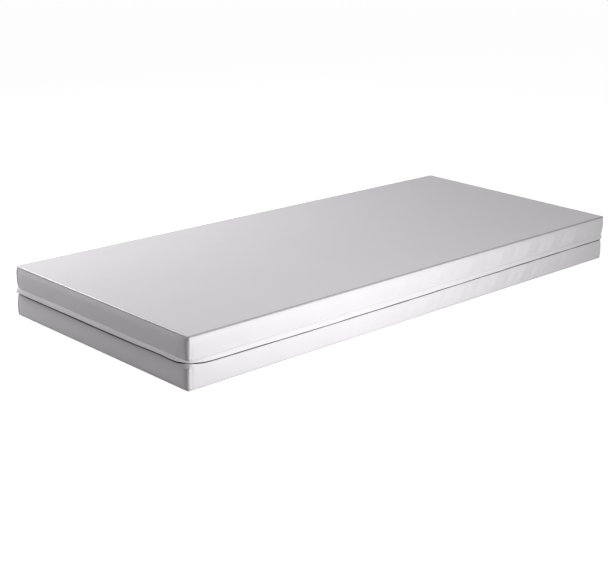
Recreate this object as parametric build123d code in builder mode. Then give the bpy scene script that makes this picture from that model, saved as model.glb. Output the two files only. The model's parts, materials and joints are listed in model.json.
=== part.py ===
"""A static pressure relief mattress for a hospital bed.

A two-part zipped cover of coated fabric holds a foam core. The top cover lifts off once the zip that runs all
round is open, and the core lifts out of the base cover.

Frame, in millimetres: the origin is at the middle of the underside, +X runs to the head end, +Y to the back
long side and +Z up. An inset is measured inwards from the cover's outline.
"""

import os

from build123d import *

# ---------------------------------------------------------------- overall size, over the zip flap
LENGTH = 2000.0
WIDTH = 850.0
HEIGHT = 160.0

# ---------------------------------------------------------------- cover
FABRIC = 1.5  # coated fabric
CORNER_R = 22.0  # vertical corners, in plan
EDGE_R = 5.0  # roll of the top and bottom edges
PANEL_RIM = 6.0  # depth of the rolled rim of the top and base panels
INNER_SLOPE = 2.0  # slope inside the roll, which keeps the fabric's thickness there
BULGE = 2.5  # how far the stuffed borders swell at mid height
UPPER_FOLD_Z = 85.5  # fold of the upper border's hem
LOWER_FOLD_Z = 74.0  # fold of the lower border's hem
HEM_FLAT = 3.0  # flat band next to a fold, below the swell
HEM_DEPTH = 11.5  # height of a hem's inner leg
HEM_INNER = 4.6  # inset of the inner face of a hem's leg, where the tape is sewn
SEAM_ALLOWANCE = 9.0  # seam turned in at a vertical corner
SEAM_CLEAR = 3.0  # from the end of a turned-in seam to the hem

# ---------------------------------------------------------------- zip flap
FLAP = 1.2
FLAP_EDGE_Z = 75.0
FLAP_FLARE = 2.3  # how far the skirt swings out at its lower edge
FLAP_GAP = 38.0  # half the gap in the flap where the sliders park

# ---------------------------------------------------------------- zip
ZIP_Z = 80.0  # height of the middle of the chain
ZIP_INSET = 5.0  # inset of the middle of the tape
ZIP_BREAK = 18.0  # half the break in the upper tape and coil where the sliders park
TAPE = 0.8
TAPE_WIDTH = 13.5
COIL_W = 2.7  # width of one coil
COIL_T = 2.0
COIL_SPLIT = 0.8  # half the slot between the coils, where a slider's post runs

# ---------------------------------------------------------------- sliders, measured along the zip from the middle
NOSE = 0.5
SHOULDER = 3.2
REAR = 13.5
NOSE_HALF = 2.8
SHOULDER_HALF = 5.0
REAR_HALF = 4.5
PLATE = 0.9
PLATE_CORNER_R = 1.0
CHANNEL = 1.2  # half the channel between the two plates
FLANGE_IN = 3.7  # from the middle of the chain to the inner side of a flange
LIP = 0.6  # half the slot between the flanges, where the tape leaves
POST_FRONT, POST_WIDE, POST_BACK = 1.0, 2.6, 6.0
POST_HALF = 0.6
CROWN_FRONT, CROWN_BACK = 3.0, 11.5
CROWN_W = 2.4
CROWN_H = 2.5
CROWN_LEG = 1.5
CROWN_R = 1.2

# ---------------------------------------------------------------- pulls, measured as the sliders are
PULL_T = 1.2
PULL_CLEAR = 0.15  # under a pull's bar, and above it
PULL_SIDE = 0.3  # beside the crown
PULL_AXIS = 8.2
PULL_ARM = 1.4
TAB_START = 12.6
TAB_END = 32.0
TAB_W = 6.4
TAB_R = 1.8
TAB_SLOT_L = 6.0
TAB_SLOT_W = 2.6

# ---------------------------------------------------------------- foam core
CORE_INSET = 7.5
CORE_CORNER_R = 30.0
CORE_LIFT = 0.5  # free height above and below the core
BASE_FOAM_H = 60.0
BOLSTER_W = 70.0
HINGE_CUT_W = 4.0
HINGE_CUT_H = 32.0
HINGE_CUTS_X = (-560.0, -490.0, -420.0, 140.0, 210.0, 280.0, 350.0)
SLOT_W = 5.0
# Comfort zones from the foot end: length, rows, columns, slot depth.
COMFORT_ZONES = {
    "comfort_heel": (560.0, 7, 7, 60.0),
    "comfort_torso": (800.0, 8, 7, 50.0),
    "comfort_head": (498.0, 3, 5, 40.0),
}

# ---------------------------------------------------------------- derived
OUTLINE_L = LENGTH - 2 * (FLAP + FLAP_FLARE)
OUTLINE_W = WIDTH - 2 * (FLAP + FLAP_FLARE)
HALF_L = OUTLINE_L / 2
HALF_W = OUTLINE_W / 2
FLAP_TOP_Z = UPPER_FOLD_Z + HEM_FLAT
CORE_L = OUTLINE_L - 2 * CORE_INSET
CORE_W = OUTLINE_W - 2 * CORE_INSET
CORE_BOTTOM = FABRIC + CORE_LIFT
UPPER_FOAM_Z = CORE_BOTTOM + BASE_FOAM_H
UPPER_FOAM_H = HEIGHT - CORE_BOTTOM - UPPER_FOAM_Z
COMFORT_L = sum(zone[0] for zone in COMFORT_ZONES.values())
COMFORT_W = CORE_W - 2 * BOLSTER_W
CROWN_BASE = CHANNEL + PLATE
CROWN_HOLE_H = PULL_T + 2 * PULL_CLEAR

# Each side's frame, with x along the side, y inwards and z up, and the length of the side.
SIDES = {
    "front": (Plane((0, -HALF_W, 0), x_dir=(1, 0, 0)), OUTLINE_L),
    "head": (Plane((HALF_L, 0, 0), x_dir=(0, 1, 0)), OUTLINE_W),
    "back": (Plane((0, HALF_W, 0), x_dir=(-1, 0, 0)), OUTLINE_L),
    "foot": (Plane((-HALF_L, 0, 0), x_dir=(0, -1, 0)), OUTLINE_W),
}


def write(part, name):
    """Names a piece and saves it."""
    part.label = name
    export_step(part, f"parts/{name}.step")


# ---------------------------------------------------------------- cover panels
def cover_panel(name, mouth_z, up):
    """The top or base panel: flat fabric with a rolled rim that meets the borders at the mouth."""
    flat_z = mouth_z + up * PANEL_RIM
    inner_z = flat_z - up * FABRIC
    with BuildPart() as panel:
        with BuildSketch(Plane.XY.offset(mouth_z)):
            RectangleRounded(OUTLINE_L, OUTLINE_W, CORNER_R)
        extrude(amount=up * PANEL_RIM)
        fillet(panel.faces().filter_by_position(Axis.Z, flat_z, flat_z).edges(), EDGE_R)
        with BuildSketch(Plane.XY.offset(mouth_z)):
            RectangleRounded(OUTLINE_L - 2 * FABRIC, OUTLINE_W - 2 * FABRIC, CORNER_R - FABRIC)
        extrude(amount=inner_z - mouth_z, mode=Mode.SUBTRACT)
        chamfer(panel.faces().filter_by_position(Axis.Z, inner_z, inner_z).edges(), INNER_SLOPE)
    write(panel.part, name)


# ---------------------------------------------------------------- borders
def border_section(plane, seam, fold, up):
    """A border in section, x inwards: the swelling wall, the fold, and the leg that carries the tape."""
    flat = fold + up * HEM_FLAT
    middle = (seam + flat) / 2
    inside = fold + up * FABRIC
    leg = fold + up * HEM_DEPTH
    with BuildSketch(plane) as section:
        with BuildLine():
            ThreePointArc((0, seam), (-BULGE, middle), (0, flat))
            Polyline(
                (0, flat),
                (0, fold),
                (HEM_INNER, fold),
                (HEM_INNER, leg),
                (HEM_INNER - FABRIC, leg),
                (HEM_INNER - FABRIC, inside),
                (FABRIC, inside),
                (FABRIC, flat),
            )
            ThreePointArc((FABRIC, flat), (FABRIC - BULGE, middle), (FABRIC, seam))
            Line((FABRIC, seam), (0, seam))
        make_face()
    return section.sketch


def allowance_section(plane, seam, fold, up):
    """The seam allowance turned in at a vertical corner, in section, from inside the wall's thickness."""
    end = fold + up * (HEM_DEPTH + SEAM_CLEAR)
    reach = FABRIC + SEAM_ALLOWANCE
    flat = fold + up * HEM_FLAT
    middle = (seam + flat) / 2
    with BuildSketch(plane) as section:
        with BuildLine():
            ThreePointArc((FABRIC / 2, seam), (FABRIC / 2 - BULGE, middle), (FABRIC / 2, flat))
            Polyline((FABRIC / 2, flat), (reach, flat), (reach, seam), (FABRIC / 2, seam))
        make_face()
        with Locations((0, (end + fold) / 2)):
            Rectangle(4 * reach, abs(end - fold), mode=Mode.SUBTRACT)
    return section.sketch


def border(name, side, seam, fold):
    """One side's border, swept from mitre to mitre round half of each corner, with its corner seams."""
    plane, length = SIDES[side]
    up = 1 if seam > fold else -1
    straight = length / 2 - CORNER_R
    with BuildPart() as panel:
        with BuildLine(plane) as run:
            CenterArc((-straight, CORNER_R), CORNER_R, start_angle=225, arc_size=45)
            Line((-straight, 0), (straight, 0))
            CenterArc((straight, CORNER_R), CORNER_R, start_angle=270, arc_size=45)
        path = run.wires()[0]
        start = Plane(path @ 0, x_dir=plane.y_dir + plane.x_dir, z_dir=path % 0)
        end = Plane(path @ 1, x_dir=plane.y_dir - plane.x_dir, z_dir=path % 1)
        sweep(border_section(start, seam, fold, up), path=path)
        extrude(allowance_section(start, seam, fold, up), amount=FABRIC)
        extrude(allowance_section(end, seam, fold, up), amount=-FABRIC)
    write(panel.part, name)


# ---------------------------------------------------------------- zip flap
def zip_flap():
    """The flap that hides the zip: a strip sewn to the upper border, and a skirt that flares out below."""
    straight_x, straight_y = HALF_L - CORNER_R, HALF_W - CORNER_R
    with BuildPart() as flap:
        with BuildLine() as run:
            Line((HALF_L, FLAP_GAP), (HALF_L, straight_y))
            CenterArc((straight_x, straight_y), CORNER_R, start_angle=0, arc_size=90)
            Line((straight_x, HALF_W), (-straight_x, HALF_W))
            CenterArc((-straight_x, straight_y), CORNER_R, start_angle=90, arc_size=90)
            Line((-HALF_L, straight_y), (-HALF_L, -straight_y))
            CenterArc((-straight_x, -straight_y), CORNER_R, start_angle=180, arc_size=90)
            Line((-straight_x, -HALF_W), (straight_x, -HALF_W))
            CenterArc((straight_x, -straight_y), CORNER_R, start_angle=270, arc_size=90)
            Line((HALF_L, -straight_y), (HALF_L, -FLAP_GAP))
        path = run.wires()[0]
        with BuildSketch(Plane(path @ 0, x_dir=(-1, 0, 0), z_dir=path % 0)):
            with BuildLine():
                Polyline(
                    (0, FLAP_TOP_Z),
                    (0, UPPER_FOLD_Z),
                    (-FLAP_FLARE, FLAP_EDGE_Z),
                    (-FLAP_FLARE - FLAP, FLAP_EDGE_Z),
                    (-FLAP, UPPER_FOLD_Z),
                    (-FLAP, FLAP_TOP_Z),
                    close=True,
                )
            make_face()
        sweep(path=path)
    write(flap.part, "zip_flap")


# ---------------------------------------------------------------- zip chain
def zip_band(name, thickness, low, height, broken):
    """A tape or a coil round the mattress, with a break at the head end if it is an upper one."""
    outer, inner = ZIP_INSET - thickness / 2, ZIP_INSET + thickness / 2
    with BuildPart() as band:
        with BuildSketch(Plane.XY.offset(low)):
            RectangleRounded(OUTLINE_L - 2 * outer, OUTLINE_W - 2 * outer, CORNER_R - outer)
            RectangleRounded(OUTLINE_L - 2 * inner, OUTLINE_W - 2 * inner, CORNER_R - inner, mode=Mode.SUBTRACT)
        extrude(amount=height)
        if broken:
            with Locations((HALF_L, 0, low + height / 2)):
                Box(4 * ZIP_INSET, 2 * ZIP_BREAK, 2 * height, mode=Mode.SUBTRACT)
    write(band.part, name)


def zip_chain():
    """The two tapes and the two coils, each a plain band."""
    edge = COIL_SPLIT + COIL_W
    zip_band("upper_zip_coil", COIL_T, ZIP_Z + COIL_SPLIT, COIL_W, broken=True)
    zip_band("upper_zip_tape", TAPE, ZIP_Z + edge, TAPE_WIDTH, broken=True)
    zip_band("lower_zip_coil", COIL_T, ZIP_Z - edge, COIL_W, broken=False)
    zip_band("lower_zip_tape", TAPE, ZIP_Z - edge - TAPE_WIDTH, TAPE_WIDTH, broken=False)


# ---------------------------------------------------------------- sliders and pulls
def zip_plane(way):
    """A slider's frame: x along its travel, y across the chain and z out of the mattress."""
    return Plane((HALF_L - ZIP_INSET, 0, ZIP_Z), x_dir=(0, way, 0), z_dir=(1, 0, 0))


def plate_plan(plane):
    """A slider's plate in plan, narrow at the nose and full at the shoulder."""
    corners = ((NOSE, NOSE_HALF), (SHOULDER, SHOULDER_HALF), (REAR, REAR_HALF))
    mirrored = [(x, -y) for x, y in reversed(corners)]
    with BuildSketch(plane) as plan:
        with BuildLine():
            Polyline(*corners, *mirrored, close=True)
        make_face()
        fillet(plan.vertices(), PLATE_CORNER_R)
    return plan.sketch


def flange_plan(plane):
    """The two flanges in plan, along the long edges of a plate."""
    with BuildSketch(plane) as plan:
        add(plate_plan(Plane.XY))
        Rectangle(4 * REAR, 2 * FLANGE_IN, mode=Mode.SUBTRACT)
    return plan.sketch


def zip_slider(name, way):
    """Two plates joined by a post, with flanges that guide the coils and a crown for the pull."""
    plane = zip_plane(way)
    with BuildPart() as slider:
        extrude(plate_plan(plane.offset(CHANNEL)), amount=PLATE)
        extrude(plate_plan(plane.offset(-CHANNEL)), amount=-PLATE)
        extrude(flange_plan(plane.offset(CHANNEL)), amount=LIP - CHANNEL)
        extrude(flange_plan(plane.offset(-CHANNEL)), amount=CHANNEL - LIP)
        with BuildSketch(plane):
            with BuildLine():
                Polyline((POST_FRONT, 0), (POST_WIDE, POST_HALF), (POST_BACK, 0), (POST_WIDE, -POST_HALF), close=True)
            make_face()
        extrude(amount=CHANNEL, both=True)
        with BuildSketch(Plane(plane.origin, x_dir=plane.x_dir, z_dir=-plane.y_dir)) as crown:
            middle = (CROWN_FRONT + CROWN_BACK) / 2
            with Locations((middle, CROWN_BASE + CROWN_H / 2)):
                Rectangle(CROWN_BACK - CROWN_FRONT, CROWN_H)
            fillet(crown.vertices().group_by(Axis.Y)[-1], CROWN_R)
            with Locations((middle, CROWN_BASE + CROWN_HOLE_H / 2)):
                Rectangle(CROWN_BACK - CROWN_FRONT - 2 * CROWN_LEG, CROWN_HOLE_H, mode=Mode.SUBTRACT)
        extrude(amount=CROWN_W / 2, both=True)
    write(slider.part, name)


def zip_pull(name, way):
    """A flat pull: a round bar under the crown, an arm at each side of it, and a tab with a slot."""
    plane = zip_plane(way)
    low = CROWN_BASE + PULL_CLEAR
    arm_y = CROWN_W / 2 + PULL_SIDE + PULL_ARM / 2
    bar_half = arm_y + PULL_ARM / 2
    with BuildPart() as pull:
        with BuildSketch(plane.offset(low)):
            with Locations(((TAB_START + TAB_END) / 2, 0)):
                RectangleRounded(TAB_END - TAB_START, TAB_W, TAB_R)
            with Locations((TAB_END - TAB_SLOT_L, 0)):
                SlotOverall(TAB_SLOT_L, TAB_SLOT_W, mode=Mode.SUBTRACT)
            arm_end = TAB_START + TAB_R
            arm_x = (PULL_AXIS + arm_end) / 2
            with Locations((arm_x, -arm_y), (arm_x, arm_y)):
                Rectangle(arm_end - PULL_AXIS, PULL_ARM)
        extrude(amount=PULL_T)
        axis = plane.from_local_coords((PULL_AXIS, 0, low + PULL_T / 2))
        with BuildSketch(Plane(axis, x_dir=plane.x_dir, z_dir=plane.y_dir)):
            Circle(PULL_T / 2)
        extrude(amount=bar_half, both=True)
    write(pull.part, name)


# ---------------------------------------------------------------- foam core
def core_plan(x_low, x_high, y_low, y_high, low):
    """A block of foam in plan, trimmed to the core's rounded outline."""
    with BuildSketch(Plane.XY.offset(low)) as plan:
        RectangleRounded(CORE_L, CORE_W, CORE_CORNER_R)
        with Locations(((x_low + x_high) / 2, (y_low + y_high) / 2)):
            Rectangle(x_high - x_low, y_high - y_low, mode=Mode.INTERSECT)
    return plan.sketch


def foam_base():
    """The firm base, cut across its underside where the bed frame bends."""
    with BuildPart() as base:
        extrude(core_plan(-CORE_L / 2, CORE_L / 2, -CORE_W / 2, CORE_W / 2, CORE_BOTTOM), amount=BASE_FOAM_H)
        with Locations(*[(x, 0, CORE_BOTTOM + HINGE_CUT_H / 2) for x in HINGE_CUTS_X]):
            Box(HINGE_CUT_W, CORE_W, HINGE_CUT_H, mode=Mode.SUBTRACT)
    write(base.part, "foam_base")


def bolsters():
    """The firm side walls and end blocks that frame the comfort layer."""
    half_l, half_w = CORE_L / 2, CORE_W / 2
    end_l, side_w = COMFORT_L / 2, COMFORT_W / 2
    blocks = {
        "side_bolster_front": (-half_l, half_l, -half_w, -side_w),
        "side_bolster_back": (-half_l, half_l, side_w, half_w),
        "end_bolster_foot": (-half_l, -end_l, -side_w, side_w),
        "end_bolster_head": (end_l, half_l, -side_w, side_w),
    }
    for name, block in blocks.items():
        with BuildPart() as bolster:
            extrude(core_plan(*block, UPPER_FOAM_Z), amount=UPPER_FOAM_H)
        write(bolster.part, name)


def comfort_zone(name, start, length, rows, columns, depth):
    """One zone of the castellated comfort layer, slotted into cells that settle one by one."""
    middle = start + length / 2
    slot_z = UPPER_FOAM_Z + UPPER_FOAM_H - depth / 2
    across = [(start + i * length / rows, 0, slot_z) for i in range(1, rows)]
    along = [(middle, (i / columns - 0.5) * COMFORT_W, slot_z) for i in range(1, columns)]
    with BuildPart() as zone:
        with Locations((middle, 0, UPPER_FOAM_Z + UPPER_FOAM_H / 2)):
            Box(length, COMFORT_W, UPPER_FOAM_H)
        with Locations(*across):
            Box(SLOT_W, COMFORT_W, depth, mode=Mode.SUBTRACT)
        with Locations(*along):
            Box(length, SLOT_W, depth, mode=Mode.SUBTRACT)
    write(zone.part, name)


def comfort_layer():
    """The three zones, laid one after another from the foot end."""
    start = -COMFORT_L / 2
    for name, (length, rows, columns, depth) in COMFORT_ZONES.items():
        comfort_zone(name, start, length, rows, columns, depth)
        start += length


def main():
    os.makedirs("parts", exist_ok=True)
    cover_panel("top_panel", mouth_z=HEIGHT - PANEL_RIM, up=1)
    cover_panel("base_panel", mouth_z=PANEL_RIM, up=-1)
    for side in SIDES:
        border(f"upper_border_{side}", side, HEIGHT - PANEL_RIM, UPPER_FOLD_Z)
        border(f"lower_border_{side}", side, PANEL_RIM, LOWER_FOLD_Z)
    zip_flap()
    zip_chain()
    for side, way in (("left", 1), ("right", -1)):
        zip_slider(f"zip_slider_{side}", way)
        zip_pull(f"zip_pull_{side}", way)
    foam_base()
    bolsters()
    comfort_layer()


main()
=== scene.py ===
import json
from math import pi, radians

import bmesh
import bpy
import numpy as np
from mathutils import Matrix, Vector

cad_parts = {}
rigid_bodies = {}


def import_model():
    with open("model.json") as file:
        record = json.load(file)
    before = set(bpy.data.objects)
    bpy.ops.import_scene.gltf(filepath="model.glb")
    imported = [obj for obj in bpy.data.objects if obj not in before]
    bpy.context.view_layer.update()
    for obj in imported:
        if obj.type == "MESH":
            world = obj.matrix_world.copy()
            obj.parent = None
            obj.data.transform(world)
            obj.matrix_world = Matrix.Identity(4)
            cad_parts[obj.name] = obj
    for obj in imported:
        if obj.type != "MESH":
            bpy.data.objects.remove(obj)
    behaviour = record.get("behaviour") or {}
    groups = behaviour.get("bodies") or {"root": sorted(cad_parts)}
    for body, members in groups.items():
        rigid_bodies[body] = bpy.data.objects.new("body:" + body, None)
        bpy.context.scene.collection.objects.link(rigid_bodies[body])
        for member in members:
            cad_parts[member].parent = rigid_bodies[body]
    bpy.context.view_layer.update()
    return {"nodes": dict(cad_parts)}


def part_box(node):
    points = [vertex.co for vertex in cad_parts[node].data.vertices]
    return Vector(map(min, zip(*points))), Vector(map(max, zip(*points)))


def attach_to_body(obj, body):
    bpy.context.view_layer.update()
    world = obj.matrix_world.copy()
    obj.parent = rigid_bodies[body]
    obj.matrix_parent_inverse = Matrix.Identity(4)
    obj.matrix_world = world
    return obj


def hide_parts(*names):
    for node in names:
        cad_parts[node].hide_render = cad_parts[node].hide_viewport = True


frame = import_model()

# ---------------------------------------------------------------- sizes, in metres
MM = 0.001
HALF_L, HALF_W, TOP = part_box("top_panel")[1]  # the mattress is centred in plan and stands on the floor
PITCH = 10.5 * MM  # between the mesh's columns, away from the corners
# The columns' distances from where a corner starts, along the side, and their turns round it, in degrees.
CORNER_STEPS = tuple(d * MM for d in (1.3, 2.6, 3.9, 5.2, 6.6, 8.1, 9.8, 11.8, 14.2, 17.2, 21, 26, 33, 42))
CORNER_TURNS = (45, 38, 31, 24, 17, 11, 5)
CLOTH = 1.2 * MM
FLAP_CLOTH = 0.9 * MM
WELD_FILM = 0.6 * MM
MERGE = 0.02 * MM  # points nearer than this are one point
ZIP_RADIUS = 17 * MM  # of the corners that the flap's stitches and the coils follow
ZIP_INSET, STITCH_INSET = 5 * MM, -0.4 * MM  # how far inside the cover's outline they run
COIL_PITCH, CORD_PITCH = 1.55 * MM, 5 * MM
STITCH_LENGTH, STITCH_PITCH, STITCH_HEIGHT = 3.4 * MM, 4.4 * MM, 89.0 * MM
FLAP_GAP = 38 * MM  # half the gap in the flap where the sliders park
COIL_GAP = 18.5 * MM  # half the gap in the upper coil there

# Each side, as seen from outside: the middle of its outline, the way along it, the way in, and half its length.
SIDES = {
    "front": ((0, -HALF_W), (1, 0), (0, 1), HALF_L),
    "head": ((HALF_L, 0), (0, 1), (-1, 0), HALF_W),
    "back": ((0, HALF_W), (-1, 0), (0, -1), HALF_L),
    "foot": ((-HALF_L, 0), (0, -1), (1, 0), HALF_W),
}

# A profile is given in millimetres: height, distance outwards from the cover's outline, and the radius of the
# corner there, in plan.
UPPER_WALL = (
    (155.8, -4.6, 8), (156.0, -3.3, 8.4), (155.5, -2.2, 8.8), (153.8, -1.2, 9.4), (151.2, -0.4, 10.2), (147.8, 0.4, 11),
    (143.2, 1.3, 12), (138, 2.0, 13.2), (128, 2.4, 14), (119, 2.3, 14.5), (110, 1.8, 15), (102, 1.1, 15.5),
    (96, 0.3, 16), (92, -0.4, 16.3), (89.6, -1.1, 16.5), (88.4, -1.4, 16.5), (86.6, -1.4, 16.5), (85.6, -1.9, 16.5),
    (85.4, -2.8, 16.5), (85.8, -3.9, 16.5), (87, -4.4, 16.5), (91, -4.4, 16.5), (96.6, -4.4, 16.5),
)
LOWER_WALL = (
    (3.6, -4.4, 10), (3.9, -2.6, 11), (5.2, -0.9, 11.6), (7.6, 0.1, 12), (12, 0.8, 12.6), (20, 1.4, 13.4),
    (30, 1.7, 14.2), (42, 1.6, 15), (52, 1.2, 15.7), (60, 0.7, 16.2), (65, 0.2, 16.5), (68, -0.3, 16.5),
    (69.3, -0.9, 16.5), (69.8, -1.7, 16.5), (69.4, -2.5, 16.5), (68.2, -3.1, 16.5), (66.4, -3.7, 16.5),
    (64, -4.2, 16.5), (60, -4.4, 16.5),
)
FLAP_SKIRT = (
    (90, -1.7, 16.5), (89.9, -0.9, 16.6), (89.3, 0.1, 16.7), (88, 1.3, 16.8), (86.2, 2.4, 17), (84, 3.5, 17.2),
    (81.6, 4.6, 17.4), (79.2, 5.5, 17.6), (77.5, 5.9, 17.8), (76.5, 5.9, 17.8), (76.2, 5.3, 17.6), (76.6, 4.4, 17.4),
    (77.8, 3.6, 17.2), (80, 2.5, 17),
)
TOP_RIM = (
    (155.4, -4.2, 8), (155.7, -3.2, 8.4), (156.4, -2.4, 8.6), (157.3, -2.1, 8.6), (158.3, -2.4, 8.4), (159.1, -3.6, 8),
    (159.7, -5.0, 7.6), (160.0, -7.6, 7.6),
)
BASE_RIM = (
    (3.2, -4.2, 9), (2.6, -2.4, 9.2), (1.9, -1.5, 9.4), (0.9, -2.0, 9.4), (0.2, -3.6, 9), (0.0, -5.6, 8.6),
    (0.0, -8.6, 8.6),
)
TOP_SEAM = (
    (156.2, -1.9, 8.8), (157.1, -1.4, 8.8), (158.4, -1.6, 8.6), (159.4, -2.9, 8.4), (160.0, -4.3, 8), (160.2, -5.2, 8),
)
BASE_SEAM = ((5.0, -0.7, 9.6), (3.9, -0.5, 9.8), (2.8, -0.8, 9.8), (2.0, -1.8, 9.6))

# Shallow folds, listed one by one: place along the side, height, half width, lean, depth and half length, in metres.
# Where the cloth is pulled along the front, they lean and lie one beside the other, a raised one and then a sunk one.
FRONT_UPPER_FOLDS = [
    (-0.31, 0.12, 0.0125, 0.3, 0.0018, 0.026), (-0.22, 0.123, 0.013, 0.35, -0.0022, 0.026),
    (-0.12, 0.12, 0.0125, 0.3, 0.0026, 0.028), (-0.03, 0.122, 0.013, 0.4, -0.0026, 0.028),
    (0.05, 0.12, 0.0125, 0.4, 0.0028, 0.028), (0.13, 0.122, 0.013, 0.35, -0.0028, 0.028),
    (0.21, 0.12, 0.0137, 0.4, 0.003, 0.028), (0.3, 0.118, 0.015, 0.35, -0.003, 0.03),
    (0.375, 0.121, 0.0137, 0.4, 0.0032, 0.028), (0.45, 0.124, 0.0137, 0.4, -0.0038, 0.028),
    (0.525, 0.12, 0.0137, 0.45, 0.0045, 0.03), (0.6, 0.122, 0.0137, 0.5, -0.0046, 0.03),
    (0.665, 0.118, 0.0137, 0.55, 0.0047, 0.028), (0.735, 0.12, 0.014, 0.55, -0.005, 0.03),
    (0.8, 0.12, 0.0137, 0.6, 0.0045, 0.028), (0.87, 0.118, 0.014, 0.5, -0.0034, 0.026),
]
FRONT_LOWER_FOLDS = [
    (-0.37, 0.041, 0.0125, 0.35, 0.0018, 0.022), (-0.28, 0.043, 0.013, 0.4, -0.0022, 0.022),
    (-0.18, 0.04, 0.0125, 0.35, 0.0026, 0.023), (-0.09, 0.042, 0.013, 0.4, -0.003, 0.023),
    (0.0, 0.04, 0.013, 0.45, 0.0032, 0.024), (0.08, 0.042, 0.013, 0.45, -0.0034, 0.024),
    (0.17, 0.04, 0.0137, 0.5, 0.0038, 0.024), (0.26, 0.042, 0.0137, 0.5, -0.0042, 0.024),
    (0.35, 0.042, 0.0137, 0.5, 0.0046, 0.024), (0.43, 0.04, 0.0137, 0.6, -0.005, 0.024),
    (0.505, 0.04, 0.0137, 0.65, 0.0055, 0.024), (0.57, 0.038, 0.0137, 0.65, -0.005, 0.022),
    (0.64, 0.04, 0.0137, 0.55, 0.0042, 0.022), (0.74, 0.04, 0.0137, 0.5, -0.0028, 0.022),
    (-0.975, 0.06, 0.006, 0.3, 0.0009, 0.01), (-0.955, 0.062, 0.006, 0.1, -0.0009, 0.01),
]

# For each side, the end where its way along starts and then the other end, in millimetres.
CORNER_LIFT = {  # how far the flap's edge rides up, and over what length
    "front": ((8.0, 40), (0.4, 30)),
    "head": ((0.4, 30), (1.0, 30)),
    "back": ((1.0, 30), (0.8, 30)),
    "foot": ((0.8, 30), (8.0, 36)),
}
FLAP_HUG = {  # how much closer to the wall the flap's edge lies
    "front": (1.4, 3.2),
    "head": (3.2, 3.2),
    "back": (3.2, 0.0),
    "foot": (0.0, 1.4),
}
HUG_REACH = 26 * MM  # how far from the corner it does so
PULLED_END = {"front": -1, "foot": 1}  # the two ends that meet at the foot end's front corner, the one pulled most
PULLED_RISE, PULLED_REACH = 1.6 * MM, 24 * MM  # how much more the lower wall's top rises at that corner
FRONT_DROOP = ((-0.95, -0.55, -0.1, 0.45, 0.9), (0.0, -2.6, -2.5, 0.0, 1.3))  # places in m, the flap's sag in mm
FOOT_RISE = (3.2 * MM, 130 * MM, 85 * MM)  # of the flap's edge near that corner: height, place, and half width
FOOT_GAP, FOOT_GAP_REACH = 1.5 * MM, 60 * MM  # the lower wall hangs this much lower under the foot end's flap

# How a wall rolls off at its corner seam, in millimetres: depth, reach, and the depth of the groove beside the seam.
# The seam's allowance lies to the long side, so a short side has the deeper groove.
LONG_SIDE_ROLL = (2.6, 26, 1.0)
SHORT_SIDE_ROLL = (4.6, 44, 4.6)
SLACK_ROLL = 0.4  # share of the roll at a corner where the cover is not pulled
WELT_HALF_WIDTH, WELT_HEIGHT, WELT_SUNK, WELT_ASIDE = 5.6, 3.4, 1.6, 1.6  # in millimetres
SLACK_WELT = 0.45  # share of the height at a corner where the cover is not pulled


# ---------------------------------------------------------------- small helpers
def linear(code):
    """A hex sRGB colour as linear RGBA."""
    parts = [int(code[i:i + 2], 16) / 255 for i in (1, 3, 5)]
    return tuple(c / 12.92 if c <= 0.04045 else ((c + 0.055) / 1.055) ** 2.4 for c in parts) + (1.0,)


def add_node(tree, kind, inputs=(), **settings):
    """Adds a shader node, sets its properties, and gives each named input a value or a link."""
    made = tree.nodes.new(kind)
    for key, value in settings.items():
        setattr(made, key, value)
    for key, value in dict(inputs).items():
        socket = made.inputs[key]
        if isinstance(value, bpy.types.NodeSocket):
            tree.links.new(value, socket)
        else:
            socket.default_value = value
    return made


def choose(piece):
    """Leaves one piece, or nothing, selected and active in object mode."""
    if bpy.context.object and bpy.context.object.mode != "OBJECT":
        bpy.ops.object.mode_set(mode="OBJECT")
    bpy.ops.object.select_all(action="DESELECT")
    if piece:
        piece.select_set(True)
        bpy.context.view_layer.objects.active = piece


def finish_piece(piece, modifiers=(), angle=50):
    """Applies modifiers in turn, then shades the piece smooth by angle."""
    choose(piece)
    for kind, settings in modifiers:
        made = piece.modifiers.new(kind.title(), kind)
        for key, value in settings.items():
            setattr(made, key, value)
        bpy.ops.object.modifier_apply(modifier=made.name)
    bpy.ops.object.shade_smooth_by_angle(angle=radians(angle))
    choose(None)
    return piece


def thicken(thickness):
    """The modifier that gives a sheet its thickness, inwards from the face that shows."""
    return ("SOLIDIFY", {"thickness": thickness, "offset": -1.0})


def outward_area(work):
    """Above 0 where the faces mostly look away from the middle of the mattress."""
    upright = 40  # makes height count for more than place in plan, as the mattress is flat
    total = 0.0
    for face in work.faces:
        x, y, z = face.calc_center_median()
        away = Vector((x / HALF_L**2, y / HALF_W**2, upright * (z - TOP / 2)))
        total += face.normal.dot(away) * face.calc_area()
    return total


def soft_piece(name, verts, faces, material):
    """A new mesh piece at the origin, its doubles merged and its faces turned outwards."""
    mesh = bpy.data.meshes.new(name)
    mesh.from_pydata([tuple(v) for v in verts], [], faces)
    work = bmesh.new()
    work.from_mesh(mesh)
    bmesh.ops.remove_doubles(work, verts=work.verts, dist=MERGE)
    bmesh.ops.dissolve_degenerate(work, edges=work.edges, dist=MERGE / 2)
    bmesh.ops.recalc_face_normals(work, faces=work.faces)
    is_sheet = any(edge.is_boundary for edge in work.edges)
    if is_sheet and outward_area(work) < 0:
        bmesh.ops.reverse_faces(work, faces=work.faces)
    work.to_mesh(mesh)
    work.free()
    piece = bpy.data.objects.new(name, mesh)
    bpy.context.scene.collection.objects.link(piece)
    mesh.materials.append(material)
    return piece


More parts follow.
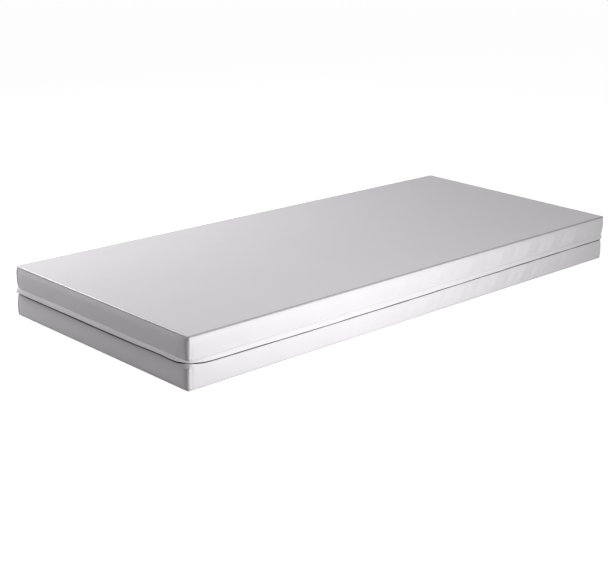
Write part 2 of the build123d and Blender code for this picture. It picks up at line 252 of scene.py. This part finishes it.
def grid_faces(rows, columns, start=0, closed=False):
    """The quads of a grid of points stored row by row; closed joins its last column to its first."""
    wide = columns if closed else columns - 1
    return [
        (start + r * columns + c, start + r * columns + (c + 1) % columns,
         start + (r + 1) * columns + (c + 1) % columns, start + (r + 1) * columns + c)
        for r in range(rows - 1) for c in range(wide)
    ]


# ---------------------------------------------------------------- the shape that every cover piece follows
def smooth_profile(points, step_mm=3.0):
    """A profile resampled along a smooth curve, in metres."""
    points = np.array(points, float) * MM
    ends = np.vstack([2 * points[0] - points[1], points, 2 * points[-1] - points[-2]])
    rows = []
    for a, b, c, d in zip(ends, ends[1:], ends[2:], ends[3:]):
        count = max(1, int(round(np.linalg.norm((c - b)[:2]) / (step_mm * MM))))
        for t in np.arange(count) / count:
            cubic = (2 * a - 5 * b + 4 * c - d) * t**2 + (3 * b - a - 3 * c + d) * t**3
            rows.append(0.5 * (2 * b + (c - a) * t + cubic))
    rows.append(points[-1])
    return np.array(rows)


def straight_shares(half):
    """Places along a side's straight, from -1 to 1, closer together near the corners."""
    start = np.array((0.0,) + CORNER_STEPS) / half
    middle = 1 - start[-1]
    count = int(round(2 * middle * half / PITCH))
    return np.concatenate([-1 + start[:-1], np.linspace(-middle, middle, count + 1), (1 - start[:-1])[::-1]])


def side_columns(side):
    """Turn about the corner and share of the straight, for each column from one mitre to the next."""
    turns = np.radians(CORNER_TURNS)
    straight = straight_shares(SIDES[side][3])
    ones = np.ones(len(turns))
    return np.concatenate([-turns, 0 * straight, turns[::-1]]), np.concatenate([-ones, straight, ones])


def place(side, turn, share, z, out, radius):
    """Points on one side of the cover, out from its outline, for columns from side_columns."""
    origin, along, inward, half = SIDES[side]
    x = share * (half - radius) + (radius + out) * np.sin(turn)
    y = radius - (radius + out) * np.cos(turn)
    return np.stack([origin[0] + along[0] * x + inward[0] * y, origin[1] + along[1] * x + inward[1] * y,
                     np.broadcast_to(z, x.shape)], -1)


def along_side(side, turn, share, radius):
    """Each column's signed place along the side, and how far it is from the nearer mitre."""
    half = SIDES[side][3]
    at = share * (half - radius) + radius * turn
    return at, (half - radius) + radius * pi / 4 - np.abs(at)


def bell(distance, width):
    """1 at no distance, and falling smoothly to almost nothing at twice the width."""
    return np.exp(-((distance / width) ** 2))


def ring_row(z, out, radius):
    """One closed row of points round the whole cover."""
    return np.concatenate([place(side, *side_columns(side), z, out, radius)[:-1] for side in SIDES])


# ---------------------------------------------------------------- borders
def scattered_folds(seed, half, low, high, count):
    """Faint upright ripples scattered along a side."""
    chance = np.random.RandomState(seed)
    return [
        (chance.uniform(-half, half), chance.uniform(low, high), chance.uniform(9, 22) * MM,
         chance.uniform(-0.2, 0.5), chance.uniform(-0.5, 0.5) * MM, chance.uniform(12, 30) * MM)
        for _ in range(count)
    ]


def fold_height(folds, at, z):
    """How far out the folds push a wall at each place along it."""
    return sum(depth * bell(at - middle - lean * (z - height), width) * bell(z - height, length)
               for middle, height, width, lean, depth, length in folds)


def pulled(side, at):
    """1 on the half of a side that ends at the corner where the cover is pulled most, and 0 elsewhere."""
    return (PULLED_END.get(side, 0) * at > 0) * 1.0


def corner_pull(side, at, from_mitre):
    """How far in a wall lies as it rolls off towards its corner seam, and in the groove beside the seam."""
    roll, reach, groove = SHORT_SIDE_ROLL if side in ("foot", "head") else LONG_SIDE_ROLL
    groove_at, groove_width = 8.5 * MM, 3.8 * MM
    ease = np.clip(from_mitre / (2.5 * MM), 0, 1)  # the groove dies out at the seam itself
    strength = SLACK_ROLL + (1 - SLACK_ROLL) * pulled(side, at)
    rolled = roll * strength * np.clip(1 - from_mitre / (reach * MM), 0, 1) ** 2
    return -(rolled + ease * groove * bell(from_mitre - groove_at, groove_width)) * MM


def edge_shift(side, at, from_mitre):
    """How far the flap's edge, and the lower wall's top under it, are above their usual height."""
    lifts = [height * MM * bell(from_mitre, width * MM) for height, width in CORNER_LIFT[side]]
    shift = np.where(at < 0, *lifts)
    if side == "front":
        shift = shift + np.interp(at, *FRONT_DROOP) * MM
    if side == "foot":
        rise, middle, width = FOOT_RISE
        shift = shift + pulled(side, at) * rise * bell(from_mitre - middle, width)
    return shift


def border_wall(name, side, profile, folds, material):
    """One border panel, from its seam to its hem's leg, with its corner pulls and folds."""
    held_in = 2.2 * MM  # this far inside the outline, the cloth is held by its seams
    lip_from, lip_height = 56 * MM, 11 * MM  # the part of the lower wall that follows the flap's edge
    turn, share = side_columns(side)
    rows = []
    for z, out, radius in smooth_profile(profile):
        at, from_mitre = along_side(side, turn, share, radius)
        loose = np.clip((out + held_in) / held_in, 0, 1)
        moved = out + loose * (fold_height(folds, at, z) + corner_pull(side, at, from_mitre))
        follow = np.clip((z - lip_from) / lip_height, 0, 1) * (z < TOP / 2)
        rise = edge_shift(side, at, from_mitre) + pulled(side, at) * PULLED_RISE * bell(from_mitre, PULLED_REACH)
        if side == "foot":
            rise = rise - FOOT_GAP * np.clip(from_mitre / FOOT_GAP_REACH, 0, 1)
        rows.append(place(side, turn, share, z + follow * rise, moved, radius))
    points = np.array(rows)
    wall = soft_piece(name, points.reshape(-1, 3), grid_faces(*points.shape[:2]), material)
    return finish_piece(wall, [thicken(CLOTH)])


def corner_welt(name, side, end, profile, low, high, material):
    """The rounded welt of a vertical corner seam, between two heights in millimetres, on the long side."""
    on_face = [(z, out, radius) for z, out, radius in smooth_profile(profile, 2.0)
               if low * MM <= z <= high * MM and out > -2 * MM]
    around = np.radians(np.arange(0, 360, 30))
    plump = 1.0 if PULLED_END.get(side) == end else SLACK_WELT
    last = len(on_face) - 1
    rows = []
    for i, (z, out, radius) in enumerate(on_face):
        taper = np.sqrt(np.clip(min(i, last - i) / 3, 0.06, 1))  # over three rows at each end
        at_base = 0.4 * bell(z - 8 * MM, 6 * MM)  # thicker where it runs into the base's seam
        uneven = 0.06 * np.sin(z * 330) + 0.05 * np.sin(z * 761 + 1)
        wander = 0.4 * np.sin(z * 95 + 0.8)
        swell = taper * (1 + at_base + uneven)
        across = (WELT_ASIDE + wander + WELT_HALF_WIDTH * swell * np.cos(around)) * MM
        outward = out - WELT_SUNK * MM + WELT_HEIGHT * MM * plump * swell * np.sin(around)
        turn = end * (radians(45) - across / radius)
        rows.append(place(side, turn, end * np.ones(len(around)), z, outward, radius))
    count = len(around)
    faces = grid_faces(len(rows), count, closed=True)
    faces += [tuple(range(count)), tuple(range(last * count, len(rows) * count))]
    return finish_piece(soft_piece(name, np.concatenate(rows), faces, material))


# ---------------------------------------------------------------- top and base panels
def top_settling(x, y):
    """How the lying surface settles over the foam: wide shallow hollows, and a few ripples by the back edge."""
    from_edge = np.minimum(HALF_L - np.abs(x), HALF_W - np.abs(y))
    inside = np.clip(from_edge / (70 * MM) - 0.15, 0, 1)
    inside = inside * inside * (3 - 2 * inside)  # the rim stays level, and the field runs down from it smoothly
    wide = (np.sin(x * 7.1 + 0.6) * np.cos(y * 8.3 - 0.4) + 0.6 * np.sin(x * 13.7 - y * 9.1 + 1.9)
            + 0.4 * np.cos(x * 4.3 + y * 17.9))
    ripples = np.sin(x * 205 + y * 70) * bell(x + 0.52, 0.10) * bell(y - 0.35, 0.04)
    creases = np.sin(x * 150 - y * 45 + 1) * bell(x - 0.1, 0.35) * bell(y - 0.365, 0.035)
    height = -0.9 + 0.25 * wide + 0.4 * ripples + 0.2 * creases  # in millimetres
    return inside * height * MM


def no_settling(x, _):
    """The base panel lies flat on the bed."""
    return 0 * x


def cover_panel(name, rim, flat_z, settling, material):
    """The top or base panel: a rolled rim that runs into a flat field."""
    profile = smooth_profile(rim, 1.6)
    radius = profile[-1][2]
    rows = [ring_row(z, out, r) for z, out, r in profile] + [ring_row(flat_z, -radius, radius)]
    count = len(rows[0])
    faces = grid_faces(len(rows), count, closed=True)
    x, y = np.meshgrid(straight_shares(HALF_L) * (HALF_L - radius), straight_shares(HALF_W) * (HALF_W - radius))
    faces += grid_faces(*x.shape, start=len(rows) * count)
    field = np.stack([x, y, np.full(x.shape, flat_z)], -1).reshape(-1, 3)
    verts = np.concatenate([*rows, field])
    verts[:, 2] += settling(verts[:, 0], verts[:, 1])
    return finish_piece(soft_piece(name, verts, faces, material), [thicken(CLOTH)])


def edge_seam(name, profile, material):
    """The pressed seam that joins a panel to its borders, a narrow strip all round."""
    rows = [ring_row(z, out, r) for z, out, r in smooth_profile(profile, 0.8)]
    faces = grid_faces(len(rows), len(rows[0]), closed=True)
    return finish_piece(soft_piece(name, np.concatenate(rows), faces, material), [thicken(WELD_FILM)])


# ---------------------------------------------------------------- zip flap
def flap_columns(side, last, radius):
    """A side's columns; the head end's start or stop at the gap where the sliders park."""
    turn, share = side_columns(side)
    if side != "head":
        return turn, share
    cut = FLAP_GAP / (HALF_W - radius)
    if last:
        return np.append(turn[share < -cut], 0.0), np.append(share[share < -cut], -cut)
    return np.insert(turn[share > cut], 0, 0.0), np.insert(share[share > cut], 0, cut)


def zip_flap(name, material):
    """The flap: one strip all round that hangs over the zip, open where the sliders park."""
    fixed_above, skirt_height = 88.4 * MM, 11 * MM  # it hangs freely below the height at which it is sewn on
    rows = []
    for z, out, radius in smooth_profile(FLAP_SKIRT, 1.6):
        hang = np.clip((fixed_above - z) / skirt_height, 0, 1)
        row = []
        for step, side in enumerate(("head", "back", "foot", "front", "head")):
            last = step == 4
            turn, share = flap_columns(side, last, radius)
            at, from_mitre = along_side(side, turn, share, radius)
            calm = hang * np.clip(from_mitre / (30 * MM), 0, 1)  # no drift or sway at the corners
            drift = (0.35 * np.sin(at * 9.3 + step) + 0.2 * np.sin(at * 31 + 2 * step)) * MM  # up and down
            sway = 0.3 * MM * np.sin(at * 23 + step) * np.sin(at * 7.7 + 1)  # in and out
            height = z + hang * edge_shift(side, at, from_mitre) + calm * drift
            hug = hang * np.where(at < 0, *FLAP_HUG[side]) * MM * bell(from_mitre, HUG_REACH)
            points = place(side, turn, share, height, out + calm * sway - hug, radius)
            row.append(points if last else points[:-1])
        rows.append(np.concatenate(row))
    points = np.array(rows)
    flap = soft_piece(name, points.reshape(-1, 3), grid_faces(*points.shape[:2]), material)
    return finish_piece(flap, [thicken(FLAP_CLOTH)])


# ---------------------------------------------------------------- repeated small parts that follow the outline
def outline_curve(inset):
    """The cover's outline, moved in by inset, as a closed curve that small parts can follow."""
    choose(None)
    bpy.ops.mesh.primitive_plane_add(size=1, location=(0, 0, 0))
    guide = bpy.context.object
    guide.scale = (2 * (HALF_L - inset), 2 * (HALF_W - inset), 1)
    bpy.ops.object.transform_apply(location=False, rotation=False, scale=True)
    bpy.ops.object.mode_set(mode="EDIT")
    bpy.ops.mesh.select_all(action="SELECT")
    bpy.ops.mesh.bevel(offset=ZIP_RADIUS, segments=10, affect="VERTICES")
    bpy.ops.mesh.select_all(action="SELECT")
    bpy.ops.mesh.delete(type="ONLY_FACE")
    bpy.ops.object.mode_set(mode="OBJECT")
    bpy.ops.object.convert(target="CURVE")
    choose(None)
    return guide


def follow_outline(piece, inset, pitch, gap):
    """Repeats a small part along the outline at a pitch, and clears the ones in the gap at the head end."""
    guide = outline_curve(inset)
    length = 4 * (HALF_L + HALF_W - 2 * inset - 2 * ZIP_RADIUS) + 2 * pi * ZIP_RADIUS
    count = int(length / pitch)
    finish_piece(piece, [
        ("ARRAY", {"fit_type": "FIXED_COUNT", "count": count, "use_relative_offset": False,
                   "use_constant_offset": True, "constant_offset_displace": (length / count, 0, 0)}),
        ("CURVE", {"object": guide, "deform_axis": "POS_X"}),
    ])
    bpy.data.objects.remove(guide)
    if gap:
        choose(piece)
        bpy.ops.object.mode_set(mode="EDIT")
        bpy.ops.mesh.select_all(action="DESELECT")
        bpy.ops.object.mode_set(mode="OBJECT")
        for vert in piece.data.vertices:
            vert.select = abs(vert.co.y) < gap and vert.co.x > 0
        bpy.ops.object.mode_set(mode="EDIT")
        bpy.ops.mesh.select_linked()
        bpy.ops.mesh.delete(type="VERT")
    choose(None)
    return piece


def coil_turn(name, height, material):
    """One turn of a coil zip: a flattened ring across the tape's edge, leaning as a wound coil does."""
    choose(None)
    bpy.ops.mesh.primitive_torus_add(
        location=(0, 0, 0), rotation=(0, pi / 2, 0), major_segments=8, minor_segments=3, major_radius=0.9 * MM,
        minor_radius=0.45 * MM)
    turn = bpy.context.object
    turn.name = turn.data.name = name
    bpy.ops.object.transform_apply(location=True, rotation=True, scale=True)
    bpy.ops.object.mode_set(mode="EDIT")
    bpy.ops.mesh.select_all(action="SELECT")
    flatten, lean = (1.0, 0.74, 1.0), radians(12)
    bpy.ops.transform.resize(value=flatten, center_override=(0, 0, 0))
    bpy.ops.transform.rotate(value=lean, orient_axis="Y", center_override=(0, 0, 0))
    bpy.ops.transform.translate(value=(0, 0, height))
    bpy.ops.object.mode_set(mode="OBJECT")
    turn.data.materials.append(material)
    return turn


def cord_length(name, height, material):
    """A short length of the flat cord that a coil is wound round, a little longer than its pitch."""
    choose(None)
    bpy.ops.mesh.primitive_cube_add(size=1, location=(0, 0, height))
    cord = bpy.context.object
    cord.name = cord.data.name = name
    cord.scale = (CORD_PITCH + 0.1 * MM, 0.7 * MM, 1.9 * MM)
    bpy.ops.object.transform_apply(location=True, rotation=True, scale=True)
    cord.data.materials.append(material)
    return cord


def stitch(name, length, height, material):
    """One stitch of thread: a slim rod."""
    choose(None)
    bpy.ops.mesh.primitive_cylinder_add(
        vertices=6, radius=0.32 * MM, depth=length, end_fill_type="TRIFAN", location=(0, 0, height),
        rotation=(0, pi / 2, 0))
    thread = bpy.context.object
    thread.name = thread.data.name = name
    bpy.ops.object.transform_apply(location=True, rotation=True, scale=True)
    thread.data.materials.append(material)
    return thread


# ---------------------------------------------------------------- materials
def shaded(name, colour, roughness, grain_mm, bump, mottle=0.02, **sockets):
    """A finish with a slow change of tone, a fine grain, and its constants on the shader's own sockets."""
    clouds_per_metre, relief_depth, rough_spread = 7.0, 0.3 * MM, 0.03
    made = bpy.data.materials.new(name)
    made.use_nodes = True
    tree = made.node_tree
    tree.nodes.clear()
    where = add_node(tree, "ShaderNodeTexCoord").outputs["Object"]
    cloud = add_node(tree, "ShaderNodeTexNoise", {"Vector": where, "Scale": clouds_per_metre, "Detail": 3.0})
    grain = add_node(tree, "ShaderNodeTexNoise", {"Vector": where, "Scale": 1 / (grain_mm * MM), "Detail": 2.0})
    both = add_node(tree, "ShaderNodeMath", {0: cloud.outputs["Fac"], 1: grain.outputs["Fac"]}, operation="ADD")
    tone = add_node(tree, "ShaderNodeMapRange", {
        "Value": both.outputs["Value"], "From Min": 0.7, "From Max": 1.3, "To Min": 1 - mottle, "To Max": 1 + mottle})
    shade = add_node(tree, "ShaderNodeVectorMath", {
        0: linear(colour)[:3], "Scale": tone.outputs["Result"]}, operation="SCALE")
    rough = add_node(tree, "ShaderNodeMapRange", {
        "Value": cloud.outputs["Fac"], "From Min": 0.3, "From Max": 0.7, "To Min": roughness - rough_spread,
        "To Max": roughness + rough_spread})
    relief = add_node(tree, "ShaderNodeBump", {
        "Height": grain.outputs["Fac"], "Strength": bump, "Distance": relief_depth})
    skin = add_node(tree, "ShaderNodeBsdfPrincipled", {
        "Base Color": shade.outputs["Vector"], "Roughness": rough.outputs["Result"],
        "Normal": relief.outputs["Normal"], **sockets})
    add_node(tree, "ShaderNodeOutputMaterial", {"Surface": skin.outputs["BSDF"]})
    return made


# Polyurethane-coated stretch knit: a smooth satin skin, the knit under it just showing as a fine grain.
COATED_KNIT = shaded("pu_coated_knit_satin", "#E2DFE2", 0.42, 1.1, 0.10, **{"IOR": 1.42})
# The flap is the same cloth, cut on the other run of the knit, so its grain is a little coarser. It is a touch paler
# than the borders: painted light, for the light that its upturned band catches.
FLAP_KNIT_PAINTED_LIGHT = shaded("pu_coated_knit_flap_painted_light", "#E4E1E4", 0.44, 1.4, 0.10, **{"IOR": 1.42})
# The base is a heavier, more matt cloth.
BASE_KNIT = shaded("pu_coated_knit_base_matt", "#CFCDD2", 0.58, 1.4, 0.2, mottle=0.03, **{"IOR": 1.46})
# Hot pressing flattens the knit. Its darker grey is painted shade, standing in for the shadowed groove along the top
# edge, so the seam reads as a thin, smooth grey line.
WELD_PAINTED_SHADE = shaded("pu_seam_painted_shade", "#A6A2A8", 0.42, 2.0, 0.03, **{"IOR": 1.7})
# Woven tape is quite matt. Its dark grey is partly painted shade, darkened so that the zip, seen through the gap under
# the pale flap, reads as the flap's dark shadow line.
TAPE_AND_PAINTED_SHADE = shaded("polyester_tape_grey_and_painted_shade", "#4A484D", 0.8, 0.6, 0.5, mottle=0.12)
# The coil is smooth monofilament, so each turn carries a small soft highlight. Its dark grey is partly painted shade,
# darkened with the tape for the shadow line under the flap.
COIL_AND_PAINTED_SHADE = shaded("polyester_coil_grey_and_painted_shade", "#57555A", 0.38, 0.5, 0.05)
# Nickel over a tumbled zinc casting: bright, but with soft reflections.
NICKEL = shaded("zinc_casting_nickel_plated", "#BDBDC0", 0.3, 0.8, 0.05, mottle=0.04, **{"Metallic": 1.0})
# Spun thread is a little fuzzy, and a shade darker than the flap that it sews.
THREAD = shaded("polyester_thread_spun", "#DAD8DC", 0.7, 0.4, 0.4, mottle=0.06)
# Cut foam: open cells of about a millimetre, so the faces look matt and finely pitted.
BASE_FOAM = shaded("polyurethane_foam_cut_grey_blue", "#8490A0", 0.95, 1.6, 0.8, 0.08, **{"Specular IOR Level": 0.2})
WALL_FOAM = shaded("polyurethane_foam_cut_white", "#E4E1D8", 0.95, 1.6, 0.8, 0.06, **{"Specular IOR Level": 0.2})
SOFT_FOAM = shaded("viscoelastic_foam_cut_yellow", "#E6D7A4", 0.95, 1.4, 0.8, 0.06, **{"Specular IOR Level": 0.2})


# ---------------------------------------------------------------- making the cover
def attach(piece, body, nodes=()):
    """Rides a piece on its body, and stands it in for the CAD nodes that it replaces."""
    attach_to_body(piece, body)
    if nodes:
        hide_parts(*nodes)
    return piece


top = cover_panel("top_cover_sheet", TOP_RIM, TOP, top_settling, COATED_KNIT)
attach(top, "top_cover", ["top_panel"])
base = cover_panel("base_cover_sheet", BASE_RIM, 0.0, no_settling, BASE_KNIT)
attach(base, "base_cover", ["base_panel"])
# The top's seam is pressed flat from above and carries a darker grey of painted shade; the base's is turned under, so
# it shows the cloth itself.
top_seam = attach(edge_seam("top_edge_weld_painted_shade", TOP_SEAM, WELD_PAINTED_SHADE), "top_cover")
base_seam = attach(edge_seam("base_edge_weld", BASE_SEAM, COATED_KNIT), "base_cover")

# Each row of borders: its profile, its front's own folds, its body, the seed of its ripples, the heights between which
# they lie, in metres, and the heights between which its corner welts run, in millimetres.
LEVELS = {
    "upper": (UPPER_WALL, FRONT_UPPER_FOLDS, "top_cover", 20, (0.098, 0.148), (87, 153)),
    "lower": (LOWER_WALL, FRONT_LOWER_FOLDS, "base_cover", 25, (0.012, 0.064), (5, 69)),
}
# Each corner's welt lies at one end of a long side.
CORNERS = (
    ("foot_front", "front", -1), ("head_front", "front", 1), ("foot_back", "back", 1), ("head_back", "back", -1),
)
walls, welts = {}, {}
for level, (profile, front_folds, body, seed, ripple_heights, welt_heights) in LEVELS.items():
    for number, (side, (_, _, _, half)) in enumerate(SIDES.items()):
        count = int(26 * half) + 6  # thirteen ripples to a metre, and six more
        folds = scattered_folds(seed + number, half, *ripple_heights, count)
        if side == "front":
            folds += front_folds
        wall = border_wall(f"{level}_wall_{side}", side, profile, folds, COATED_KNIT)
        walls[level, side] = attach(wall, body, [f"{level}_border_{side}"])
    for corner, side, end in CORNERS:
        welt = corner_welt(f"{level}_corner_welt_{corner}", side, end, profile, *welt_heights, COATED_KNIT)
        welts.setdefault((level, side), []).append(attach(welt, body))

flap = attach(zip_flap("zip_flap_skirt", FLAP_KNIT_PAINTED_LIGHT), "top_cover", ["zip_flap"])
thread = stitch("flap_stitches", STITCH_LENGTH, STITCH_HEIGHT, THREAD)
flap_stitches = follow_outline(thread, STITCH_INSET, STITCH_PITCH, FLAP_GAP + 1 * MM)
attach(flap_stitches, "top_cover")

# ---------------------------------------------------------------- zip
# Heights are in millimetres. A slot of 1.6 mm is left between the two coils, where the sliders' posts run.
for level, body, height, gap in (("upper", "top_cover", 82.15, COIL_GAP), ("lower", "base_cover", 77.85, 0)):
    turn = coil_turn(f"{level}_coil_turns", height * MM, COIL_AND_PAINTED_SHADE)
    attach(follow_outline(turn, ZIP_INSET, COIL_PITCH, gap), body, [f"{level}_zip_coil"])
    cord = cord_length(f"{level}_coil_cord", height * MM, TAPE_AND_PAINTED_SHADE)
    attach(follow_outline(cord, ZIP_INSET, CORD_PITCH, gap), body)
# The zip tapes take the dark tape finish, which is partly painted shade for the gap under the flap.
for material, nodes in (
    (TAPE_AND_PAINTED_SHADE, ("upper_zip_tape", "lower_zip_tape")),
    (NICKEL, ("zip_slider_left", "zip_slider_right", "zip_pull_left", "zip_pull_right")),
):
    for node in nodes:
        frame["nodes"][node].data.materials.clear()
        frame["nodes"][node].data.materials.append(material)


# ---------------------------------------------------------------- foam core
def foam_block(node, name, material):
    """A block of cut foam on the core's own outline, with its sawn edges eased."""
    block = bpy.data.objects.new(name, frame["nodes"][node].data.copy())
    bpy.context.scene.collection.objects.link(block)
    work = bmesh.new()
    work.from_mesh(block.data)
    bmesh.ops.remove_doubles(work, verts=work.verts, dist=MERGE)
    bmesh.ops.dissolve_limit(work, angle_limit=radians(1), verts=work.verts, edges=work.edges)
    work.to_mesh(block.data)
    work.free()
    block.data.materials.clear()
    block.data.materials.append(material)
    eased = {"width": 1.6 * MM, "segments": 2, "limit_method": "ANGLE", "angle_limit": radians(50)}
    finish_piece(block, [("BEVEL", eased)], 40)
    attach(block, "foam_core", [node])
    return block


for node, name, material, slot in (
    ("foam_base", "firm_base_block", BASE_FOAM, "base_foam"),
    ("side_bolster_front", "side_wall_block_front", WALL_FOAM, "bolster_foam"),
    ("side_bolster_back", "side_wall_block_back", WALL_FOAM, "bolster_foam"),
    ("end_bolster_foot", "end_wall_block_foot", WALL_FOAM, "bolster_foam"),
    ("end_bolster_head", "end_wall_block_head", WALL_FOAM, "bolster_foam"),
    ("comfort_heel", "slotted_heel_block", SOFT_FOAM, "comfort_foam"),
    ("comfort_torso", "slotted_torso_block", SOFT_FOAM, "comfort_foam"),
    ("comfort_head", "slotted_head_block", SOFT_FOAM, "comfort_foam"),
):
    foam_block(node, name, material)


# ---------------------------------------------------------------- floor, surroundings, light and camera
def seen_white(tree):
    """1 for a ray that comes from the camera, a gloss or a clear material, and 0 for soft light."""
    path = add_node(tree, "ShaderNodeLightPath")
    first = add_node(tree, "ShaderNodeMath", {
        0: path.outputs["Is Camera Ray"], 1: path.outputs["Is Glossy Ray"]}, operation="MAXIMUM")
    both = add_node(tree, "ShaderNodeMath", {
        0: first.outputs["Value"], 1: path.outputs["Is Transmission Ray"]}, operation="MAXIMUM")
    return both.outputs["Value"]


def studio():
    """A pale paper floor that keeps a soft shadow, and white surroundings that give only a little soft light."""
    choose(None)
    bpy.ops.mesh.primitive_plane_add(size=24, location=(0, 0, -0.4 * MM))
    floor = bpy.context.object
    floor.name = "studio_floor"
    paper = bpy.data.materials.new("floor_paper_pale")
    paper.use_nodes = True
    tree = paper.node_tree
    tree.nodes.clear()
    glow = add_node(tree, "ShaderNodeMath", {0: seen_white(tree), 1: 0.9}, operation="MULTIPLY")
    skin = add_node(tree, "ShaderNodeBsdfPrincipled", {
        "Base Color": linear("#B4B4B4"), "Roughness": 0.9, "Specular IOR Level": 0.1, "Emission Color": (1, 1, 1, 1),
        "Emission Strength": glow.outputs["Value"]})
    add_node(tree, "ShaderNodeOutputMaterial", {"Surface": skin.outputs["BSDF"]})
    floor.data.materials.append(paper)

    world = bpy.data.worlds.new("studio")
    bpy.context.scene.world = world
    world.use_nodes = True
    tree = world.node_tree
    tree.nodes.clear()
    level = add_node(tree, "ShaderNodeMapRange", {"Value": seen_white(tree), "To Min": 0.12, "To Max": 1.0})
    sky = add_node(tree, "ShaderNodeBackground", {"Color": (1, 1, 1, 1), "Strength": level.outputs["Result"]})
    add_node(tree, "ShaderNodeOutputWorld", {"Surface": sky.outputs["Background"]})


def softbox(name, at, toward, width, height, power):
    """A rectangular lamp that faces a point, sized in metres and with its power in watts."""
    lamp = bpy.data.lights.new(name, "AREA")
    lamp.shape = "RECTANGLE"
    lamp.size, lamp.size_y, lamp.energy = width, height, power
    made = bpy.data.objects.new(name, lamp)
    bpy.context.scene.collection.objects.link(made)
    made.location = at
    made.rotation_mode = "QUATERNION"
    made.rotation_quaternion = (Vector(toward) - Vector(at)).to_track_quat("-Z", "Y")
    made.visible_camera = False


def camera():
    """A camera off the foot end's front corner, a little above the mattress."""
    at = (-3.122, -2.984, 1.392)
    azimuth, elevation, roll = radians(-44.945), radians(17.925), radians(1.61)
    back = Vector((np.sin(azimuth) * np.cos(elevation), -np.cos(azimuth) * np.cos(elevation), np.sin(elevation)))
    right = (-back).cross(Vector((0, 0, 1))).normalized()
    up = right.cross(-back)
    lens = bpy.data.cameras.new("studio_camera")
    lens.lens, lens.sensor_width = 78.01, 36
    lens.clip_start, lens.clip_end = 0.1, 60
    made = bpy.data.objects.new("studio_camera", lens)
    bpy.context.scene.collection.objects.link(made)
    axes = (np.cos(roll) * right + np.sin(roll) * up, -np.sin(roll) * right + np.cos(roll) * up, back)
    made.matrix_world = Matrix.Translation(at) @ Matrix(axes).transposed().to_4x4()
    bpy.context.scene.camera = made


studio()
softbox("front_softbox", (-0.4, -2.0, 0.45), (-0.35, -0.42, 0.05), 1.0, 0.5, 28.5)
softbox("high_back_softbox", (-1.06, 2.3, 2.0), (-0.9, 0.0, 0.16), 1.0, 0.6, 76)
softbox("left_back_softbox", (-2.8, 1.8, 1.0), (-0.9, 0.1, 0.1), 0.9, 0.7, 7)
softbox("head_softbox", (3.2, -0.3, 0.4), (1.0, 0.0, 0.08), 1.0, 0.5, 6)
camera()

bpy.context.scene.view_settings.view_transform = "Standard"
